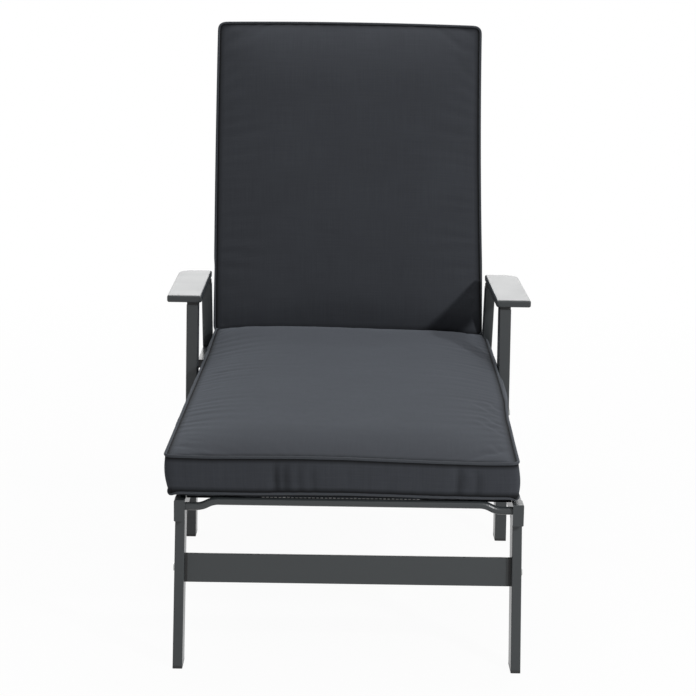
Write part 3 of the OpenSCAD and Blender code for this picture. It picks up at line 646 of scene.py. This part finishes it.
def fill_cover(piece, net, calm):
    """Blow a cover up as cloth. Points for which calm is below 1 move only by that share."""
    mesh = piece.data
    start = points_of(mesh)
    held = hold(piece, net)
    cloth = piece.modifiers.new("filling", "CLOTH")
    settings = cloth.settings
    settings.quality = 6
    settings.mass = 0.2
    settings.tension_stiffness = 12
    settings.compression_stiffness = 12
    settings.shear_stiffness = 4
    settings.bending_stiffness = 0.05
    settings.use_pressure = True
    settings.uniform_pressure_force = 4
    settings.vertex_group_mass = held.name
    settings.shrink_min = -cloth_growth
    settings.effector_weights.gravity = 0
    cloth.collision_settings.use_collision = False
    cloth.point_cache.frame_start = 1
    cloth.point_cache.frame_end = filling_steps
    scene = bpy.context.scene
    for step in range(filling_steps):
        scene.frame_set(step + 1)
    filled = points_of(piece.evaluated_get(bpy.context.evaluated_depsgraph_get()).data)
    piece.modifiers.remove(cloth)
    piece.vertex_groups.remove(held)
    scene.frame_set(1)
    moved = filled - start
    length = np.linalg.norm(moved, axis=1, keepdims=True)
    moved *= np.tanh(length / most_fill) * most_fill / np.maximum(length, 1e-9)
    put_points(mesh, start + moved * calm(start)[:, None])
    return length.max()


def at_side(distance):
    """1 on the boxing of the sides, 0 further in than the piping."""
    return ease(distance - (cushion_half - 25 * mm), 20 * mm)


def calm_back(co):
    """The sides of the back cushion are firm, so they hardly fill out."""
    return 1 - 0.85 * at_side(np.abs(co[:, 0]))


def calm_seat(co):
    """The seat cushion is firm at the right foot end."""
    near_end = 1 - ease(co[:, 1] - rail_front - 470 * mm, 200 * mm)
    return 1 - 0.8 * at_side(co[:, 0]) * near_end


seat_most = fill_cover(seat_cover, seat_net, calm_seat)
back_most = fill_cover(back_cover, back_net, calm_back)
print(f"furthest points moved {seat_most / mm:.1f} and {back_most / mm:.1f} mm before the limit")

# %% [markdown]
# ## Pinched folds in the front boxing
# Where the boxing is sewn a little tight, the cloth is gathered into short upright folds. Each fold is a dent
# that is deepest a little below the middle of the boxing. Little light gets into it, so shade is painted into
# it: the deeper the dent, the darker the painted seam shade on its points.

# %% Pinch the front
full_shade_depth = 16 * mm


def pinch_front(piece, net):
    first, around = 2 * net["nx"] * net["ny"], len(net["walk"])
    pinched = np.flatnonzero(net["puckers"] > 0.05 * mm)
    shade = piece.data.attributes["painted_seam_shade"].data
    for row, share in enumerate(boxing_shares[1:-1]):
        for t in pinched:
            index = int(first + row * around + t)
            dent = float(net["puckers"][t]) * math.sin(math.pi * share ** 0.7)
            piece.data.vertices[index].co.y += dent
            # painted shade in the fold, darker the deeper the dent
            shade[index].value = max(shade[index].value, dent / full_shade_depth)
    piece.data.update()


pinch_front(seat_cover, seat_net)
print("pinched", len(pucker_places), "folds into the front")

# %% [markdown]
# ## Piping
# The piping is a cord wrapped in a strip of the cover cloth and sewn into each seam. A round tube
# that follows the seam points is enough, because the cord keeps its round shape even where the cover
# is full. Half of it stands out of the seam, as with a sewn-in cord.

# %% Piping along the seams
cord_sides = 8


def piping_on(name, cover, net, row):
    """A closed tube along one seam, on the row of the boxing with that number."""
    path = points_of(cover.data)[seam_ring(net, row)]
    ahead = np.roll(path, -1, 0) - np.roll(path, 1, 0)
    ahead /= np.linalg.norm(ahead, axis=1, keepdims=True)
    out = path - path.mean(0)
    out -= (out * ahead).sum(1, keepdims=True) * ahead
    out /= np.linalg.norm(out, axis=1, keepdims=True)
    side = np.cross(ahead, out)
    turns = (np.arange(cord_sides) / cord_sides * 2 * math.pi)[None, :, None]
    points = path[:, None] + piping_r * (np.cos(turns) * out[:, None] + np.sin(turns) * side[:, None])
    walked = walked_along(np.concatenate([path, path[:1]]))
    facet = 2 * math.pi * piping_r / cord_sides
    faces, maps = [], []
    for t in range(len(path)):
        u = (t + 1) % len(path)
        for k in range(cord_sides):
            m = (k + 1) % cord_sides
            v0, v1 = k * facet, (k + 1) * facet
            faces.append([t * cord_sides + k, u * cord_sides + k, u * cord_sides + m, t * cord_sides + m])
            maps.append([(walked[t], v0), (walked[t + 1], v0), (walked[t + 1], v1), (walked[t], v1)])
    mesh = cloth_mesh(name, points.reshape(-1, 3), faces, maps)
    turn_faces_out(mesh)
    return add_piece(name, mesh)


seat_pipings = [piping_on("seat_piping_upper", seat_cover, seat_net, boxing_rows),
                piping_on("seat_piping_lower", seat_cover, seat_net, 0)]
back_pipings = [piping_on("back_piping_front", back_cover, back_net, boxing_rows),
                piping_on("back_piping_rear", back_cover, back_net, 0)]
print("made", len(seat_pipings + back_pipings), "rings of piping")

# %% [markdown]
# ## The seat cushion sags at its front
# Nobody lays a cushion quite straight, and a used one is not level. In the photograph the front edge
# of the seat stands proud left of the middle and hangs at the right, where the side is also drawn in
# a little. The tables below give the height of both seams at nine places across the front, and how far
# the right side is drawn in at seven places behind it. Places in between are worked out from these.

# %% Sag of the front and the right side
sag_at_x = np.array([-290, -230, -150, -70, 8, 88, 166, 247, 287]) * mm
high_seam_sag = np.array([0, -0.6, 0.8, 1.7, 1, -1.4, -3.6, -5.4, -5]) * mm
low_seam_sag = np.array([-3.3, -3.3, -3, -1.2, -0.5, -2, -4, -5, -5]) * mm
pull_at_y = np.array([0, 45, 155, 275, 315, 400, 470]) * mm
pull_in = np.array([1, 2, 4, 4.8, 5, 3, 0]) * mm
low_push = 3.5 * mm
sag_reach, push_reach = 250 * mm, 120 * mm


def upper_share(co):
    """0 at the lower seam and 1 at the upper."""
    return ease(co[:, 2] - (hinge.z + seam_low), seam_high - seam_low)


def sag_seat(piece):
    co = points_of(piece.data)
    from_end = co[:, 1] - front_edge
    raised = ease(co[:, 2] - (hinge.z + underside + 2 * mm), 12 * mm)
    upper = upper_share(co)
    high = np.interp(co[:, 0], sag_at_x, high_seam_sag)
    low = np.interp(co[:, 0], sag_at_x, low_seam_sag)
    co[:, 2] += (1 - ease(from_end, sag_reach)) * raised * (low + (high - low) * upper)
    pulled = np.interp(from_end, pull_at_y, pull_in)
    pushed = low_push * (1 - upper) * raised * (1 - ease(from_end, push_reach))
    co[:, 0] += (pushed - pulled * (0.4 + 0.6 * upper)) * ease(co[:, 0] - 150 * mm, 150 * mm)
    put_points(piece.data, co)


for piece in (seat_cover, *seat_pipings):
    sag_seat(piece)
print(f"the front sags by {-high_seam_sag.min() / mm:.1f} mm at the right")

# %% [markdown]
# ## The seat cushion rises at the fold
# Where the seat is pushed against the back cushion its rear edge rises, most of all at the left. The
# same small table gives the lift across the width. A point that would cross the plane of the fold is
# stopped in it, so the two cushions only touch.

# %% Lift of the rear edge
lift_at_x = np.array([-290, -242, -200, -120, -79, 0, 84, 165, 206, 246, 290]) * mm
rear_lift = np.array([9.5, 9.7, 7, 7.8, 8.2, 7.4, 5, 2.9, 3.2, 4.8, 4.2]) * mm


def raise_rear_edge(piece):
    co = points_of(piece.data)
    at_rear = ease(co[:, 1] - (hinge.y - 350 * mm), 250 * mm)
    co[:, 2] += np.interp(co[:, 0], lift_at_x, rear_lift) * upper_share(co) * at_rear
    fold = hinge.y - (co[:, 2] - hinge.z) * math.tan(half_fold) - fold_gap
    co[:, 1] = np.where(at_rear > 0, np.minimum(co[:, 1], fold), co[:, 1])
    put_points(piece.data, co)


for piece in (seat_cover, *seat_pipings):
    raise_rear_edge(piece)
print(f"the rear edge rises by up to {rear_lift.max() / mm:.1f} mm")

# %% [markdown]
# ## How the cushions lie between the arms
# The seat cushion lies a finger's breadth to the left at the foot end, and the back cushion leans a
# little. Each is turned by shifting its points sideways along its length. Beside the legs, bars and
# posts of the arms the cloth is pressed flat, so that it never enters them. The limits below are
# distances from the middle line, and they open up again above and between these bars.

# %% Lay the cushions
open_half = 0.326
leg_half, leg_y, leg_reach = 0.317, -0.12, 0.06
bar_half, bar_y, bar_top = 0.3068, 0.03, 0.3395
post_y = 0.15
post_half = 0.3070
above_arm = 0.023
armrest_top = 0.515
seat_shifts = (7.9 * mm, -8.6 * mm, -12.6 * mm)
back_shifts = (3.9 * mm, -8.0 * mm, 0)


def seat_limit(co):
    beside_bar = ease(co[:, 1] - bar_y, 0.04) * (co[:, 2] < bar_top)
    beside_post = ease(co[:, 1] - post_y, 0.05) * (co[:, 2] >= bar_top)
    beside_leg = ease(leg_reach - np.abs(co[:, 1] - leg_y), 0.03)
    pressed = np.maximum(beside_bar, beside_post) * (open_half - bar_half)
    return open_half - np.maximum(pressed, beside_leg * (open_half - leg_half))


def back_limit(co):
    return post_half + above_arm * ease(co[:, 2] - armrest_top, 0.07)


def lay_cushion(piece, shifts, reach, from_hinge, limit):
    """Shift a piece sideways by a curve along its length and keep it within its limit."""
    co = points_of(piece.data)
    share = np.clip(from_hinge(co) / reach, 0, 1)
    co[:, 0] += shifts[0] + shifts[1] * share + shifts[2] * share ** 2
    over = np.abs(co[:, 0]) - limit(co)
    co[:, 0] -= np.where(over > 0, np.sign(co[:, 0]) * over, 0)
    put_points(piece.data, co)


for piece in (seat_cover, *seat_pipings):
    lay_cushion(piece, seat_shifts, seat_reach, lambda co: hinge.y - co[:, 1], seat_limit)
for piece in (back_cover, *back_pipings):
    lay_cushion(piece, back_shifts, back_reach,
                lambda co: np.hypot(co[:, 1] - hinge.y, co[:, 2] - hinge.z), back_limit)
print("cushions laid as in the picture")

# %% [markdown]
# ## Wrinkles in the seat
# Short folds run in from the side seams where the cloth is a little long. Each is a groove with a
# lower ridge on its foot-end side, and it fades out toward both ends. The table gives its two ends
# and its depth.

# %% Wrinkles
# Each row: x and y of one end, x and y of the other end, and the depth, all in mm
wrinkles = [
    (269, -496, 290, -551, 3.2),
    (239, -530, 278, -595, 2.2),
    (249, -628, 282, -677, 2.6),
    (237, -670, 277, -743, 2.4),
    (253, -832, 280, -911, 3.0),
    (262, -894, 279, -939, 2.2),
    (-289, -254, -245, -271, 1.6),
    (-287, -304, -228, -289, 1.2),
    (-286, -414, -242, -392, 1.0),
]
wrinkle_width = 6 * mm
groove_off, ridge_off = 3 * mm, -7 * mm
ridge_share = 0.7
fade_past = 0.3


def wrinkle_top(piece):
    co = points_of(piece.data)
    on_top = co[:, 2] > hinge.z + seam_high + 1.5 * mm
    rise = np.zeros(len(co))
    for line in wrinkles:
        start, end, deep = np.array(line[:2]) * mm, np.array(line[2:4]) * mm, line[4] * mm
        run = np.linalg.norm(end - start)
        ahead = (end - start) / run
        away = co[:, :2] - start
        share = np.clip(away @ ahead / run, -fade_past, 1 + fade_past)
        off = away @ np.array([-ahead[1], ahead[0]])
        fade = np.cos(math.pi / (1 + 2 * fade_past) * (share - 0.5)) ** 2
        ridge = ridge_share * np.exp(-((off - ridge_off) / wrinkle_width) ** 2)
        groove = np.exp(-((off - groove_off) / wrinkle_width) ** 2)
        rise += deep * fade * (ridge - groove)
    co[:, 2] += rise * on_top
    put_points(piece.data, co)


wrinkle_top(seat_cover)
print("pressed", len(wrinkles), "wrinkles into the seat")

# %% [markdown]
# ## Soft surface and stand-ins
# One step of subdivision makes the cloth round between its points. The plain CAD cushions are then hidden,
# since these stand for them.


def finish_soft(piece, material):
    piece.data.materials.append(material)
    piece.data.polygons.foreach_set("use_smooth", [True] * len(piece.data.polygons))
    smooth = piece.modifiers.new("round_cloth", "SUBSURF")
    smooth.levels = 1
    smooth.render_levels = 1
    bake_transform(piece)


for cover, node in ((seat_cover, "seat_cushion"), (back_cover, "back_cushion")):
    finish_soft(cover, cushion_cloth)
    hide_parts(node)
for piping in seat_pipings + back_pipings:
    finish_soft(piping, piping_cloth_painted_lighter)

# %% [markdown]
# ## Slings
# The deck under each cushion is a stretched mesh cloth. Its two long edges hold a cord each and are
# drawn into the slots of the rails, so it is tight across. A flat grid whose sides turn down into
# the slots is the whole shape, and a thin solidify gives it its edge. Its flat size is measured along
# the cloth, over the turned-down sides.

# %% Sling sheets
sling_rise = 20 * mm
sling_thick = 1.2 * mm
sling_step = 0.03
lines_across = 41
side_drop = [11 * mm, 4 * mm]
hem_behind = 30.3 * mm


def sling_sheet(name, half, start, end, place, body, node):
    """A sheet between two rails, from start to end along the cushion's own measure."""
    across = np.concatenate([[-half, -half], np.linspace(-half, half, lines_across), [half, half]])
    drop = np.concatenate([side_drop, np.zeros(lines_across), side_drop[::-1]])
    along = np.linspace(start, end, max(12, round((end - start) / sling_step)))
    flat = walked_along(np.stack([across, drop], -1))
    n = len(across)
    points = np.array([(across[k], s, sling_rise - drop[k] - 0.8 * mm) for s in along for k in range(n)])
    places = [(flat[k], s) for s in along for k in range(n)]
    faces = []
    for r in range(len(along) - 1):
        for k in range(n - 1):
            faces.append([r * n + k, r * n + k + 1, (r + 1) * n + k + 1, (r + 1) * n + k])
    mesh = cloth_mesh(name, place(points), faces, [[places[k] for k in face] for face in faces])
    mesh.materials.append(sling_cloth)
    piece = add_piece(name, mesh)
    thick = piece.modifiers.new("cloth_thickness", "SOLIDIFY")
    thick.thickness = sling_thick
    thick.offset = 0
    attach(piece, body)
    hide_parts(node)
    return piece, (float(flat[-1]), end - start)


rail_x = (rail_in + rail_out) / 2
back_low, back_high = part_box("back_rail_right")
back_x = (back_low.x + back_high.x) / 2
seat_sling, seat_cut = sling_sheet("seat_sling_cloth", rail_x, 76 * mm, hinge.y - rail_front - hem_behind,
                                   place_seat, "frame", "seat_sling")
back_sling, back_cut = sling_sheet("back_sling_cloth", back_x, 48 * mm, 768 * mm,
                                   place_back, "backrest", "back_sling")
print("slings", seat_sling.name, back_sling.name)

# %% [markdown]
# ## Hem of the seat sling
# The foot end of the sling is folded under and stitched. Under the front of the seat cushion the fold
# shows as a thin black edge with a row of pale stitches. The fold is a flat bar with rounded edges,
# and each stitch is a small block of thread, set along the edge at its real pitch.

# %% Hem and stitches
def finish_bmesh(build, name, material, body):
    mesh = bpy.data.meshes.new(name)
    bmesh.ops.recalc_face_normals(build, faces=build.faces[:])
    build.to_mesh(mesh)
    build.free()
    mesh.materials.append(material)
    piece = add_piece(name, mesh)
    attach(piece, body)
    return piece


def add_block(build, centre, size, round_r, segments=1):
    """A block with rounded edges."""
    made = bmesh.ops.create_cube(build, size=1, matrix=Matrix.LocRotScale(centre, None, size))["verts"]
    edges = list({edge for vert in made for edge in vert.link_edges})
    bmesh.ops.bevel(build, geom=edges, offset=round_r, affect="EDGES", segments=segments, profile=0.5,
                    material=-1)


hem_size = Vector((2 * rail_in - 3 * mm, 3.2 * mm, 4.6 * mm))
hem_centre = Vector((0, rail_front + hem_behind - 1.7 * mm, hinge.z + sling_rise - hem_size.z / 2))
hem_bar = bmesh.new()
add_block(hem_bar, hem_centre, hem_size, 1.2 * mm, 3)
sling_hem = finish_bmesh(hem_bar, "seat_sling_hem", sling_cloth, "frame")
stitch_size = Vector((4.8 * mm, 1.2 * mm, 1.4 * mm))
stitch_pitch = 7.3 * mm
stitch_y = hem_centre.y - hem_size.y / 2 - 0.5 * mm
stitch_z = hem_centre.z + 1.1 * mm
stitch_places = [(k - 0.5) * stitch_pitch for k in range(-20, 18)]
stitch_row = bmesh.new()
for stitch_x in stitch_places:
    add_block(stitch_row, Vector((stitch_x, stitch_y, stitch_z)), stitch_size, 0.3 * mm)
hem_stitches = finish_bmesh(stitch_row, "seat_sling_stitches", hem_thread, "frame")
print("hem with", len(stitch_places), "stitches")

# %% [markdown]
# ## Floor and backdrop
# The photograph has a plain white ground. The floor is a wide pale sheet that glows just enough to
# reach white for the camera and still shows a soft shadow close to the lounger. The sky is white
# where the camera or a shiny surface looks at it, but as a light it is only a weak, even fill.

# %% Floor and sky
def sees(tree, *rays):
    """1 for the kinds of rays that see the ground as white."""
    path = add_node(tree, "ShaderNodeLightPath")
    seen = path.outputs[rays[0]]
    for ray in rays[1:]:
        seen = add_math(tree, "MAXIMUM", seen, path.outputs[ray])
    return seen


def floor_finish(near=0.8, far=3.0):
    """Nearly all glow within the near radius, and all glow beyond the far one."""
    material, tree, shader = new_finish("pale_studio_floor", Base_Color=colour("#e6e6e6"), Roughness=0.9)
    glow = add_node(tree, "ShaderNodeEmission", {"Color": (1, 1, 1, 1), "Strength": 1.0})
    radius = add_node(tree, "ShaderNodeVectorMath", {0: object_place(tree)}, operation="LENGTH")
    white = add_node(tree, "ShaderNodeMapRange", {"Value": radius.outputs["Value"], "From Min": near,
                                                  "From Max": far, "To Min": 0.96, "To Max": 1.0})
    weight = add_math(tree, "MULTIPLY", sees(tree, "Is Camera Ray", "Is Glossy Ray"), white.outputs["Result"])
    mix = add_node(tree, "ShaderNodeMixShader",
                   {0: weight, 1: shader.outputs["BSDF"], 2: glow.outputs["Emission"]})
    tree.links.new(mix.outputs["Shader"], tree.nodes["Material Output"].inputs["Surface"])
    return material


floor_half = 40
floor_mesh = bpy.data.meshes.new("studio_floor")
floor_corners = [(x * floor_half, y * floor_half, 0) for x, y in ((-1, -1), (1, -1), (1, 1), (-1, 1))]
floor_mesh.from_pydata(floor_corners, [], [(0, 1, 2, 3)])
floor_mesh.materials.append(floor_finish())
floor = add_piece("studio_floor", floor_mesh)

fill_light = 0.17
world = bpy.data.worlds.new("studio")
bpy.context.scene.world = world
world.use_nodes = True
sky = world.node_tree
background = sky.nodes["Background"]
sees_white = sees(sky, "Is Camera Ray", "Is Glossy Ray", "Is Transmission Ray")
level = add_node(sky, "ShaderNodeMapRange", {"Value": sees_white, "To Min": fill_light, "To Max": 1.0})
background.inputs["Color"].default_value = (1, 1, 1, 1)
sky.links.new(level.outputs["Result"], background.inputs["Strength"])
print("white floor", 2 * floor_half, "m wide under a sky that lights at", fill_light)

# %% [markdown]
# ## Studio lamps
# Three lamps light the lounger. A long strip overhead gives the cushions their soft tops and dark
# fronts. A small strong lamp at the front right throws the armrest's shadow on the back cushion, and
# a weak soft box behind brightens the rear edges.

# %% Lamps
def add_lamp(name, place, aim, width, height, glow):
    """A soft box of that radiance, where 1 is as bright as white paper."""
    data = bpy.data.lights.new(name, "AREA")
    data.shape = "RECTANGLE"
    data.size = width
    data.size_y = height
    data.energy = glow * math.pi * width * height
    lamp = add_piece(name, data)
    lamp.location = place
    lamp.rotation_euler = (Vector(aim) - Vector(place)).to_track_quat("-Z", "Y").to_euler()
    lamp.visible_camera = False
    return lamp


lamps = [add_lamp("overhead_strip_light", (0, 1.0, 3.4), (0, 0.1, 0.3), 3.0, 0.7, 10.8),
         add_lamp("front_right_lamp", (1.71, -2.8, 1.86), (0.1, 0.1, 0.4), 0.2, 0.2, 345),
         add_lamp("rear_soft_box", (0, 5.2, 1.7), (0, 0, 0.6), 5.0, 1.5, 1.6)]
bpy.context.scene.view_settings.view_transform = "Standard"
print("lit with", [lamp.name for lamp in lamps])
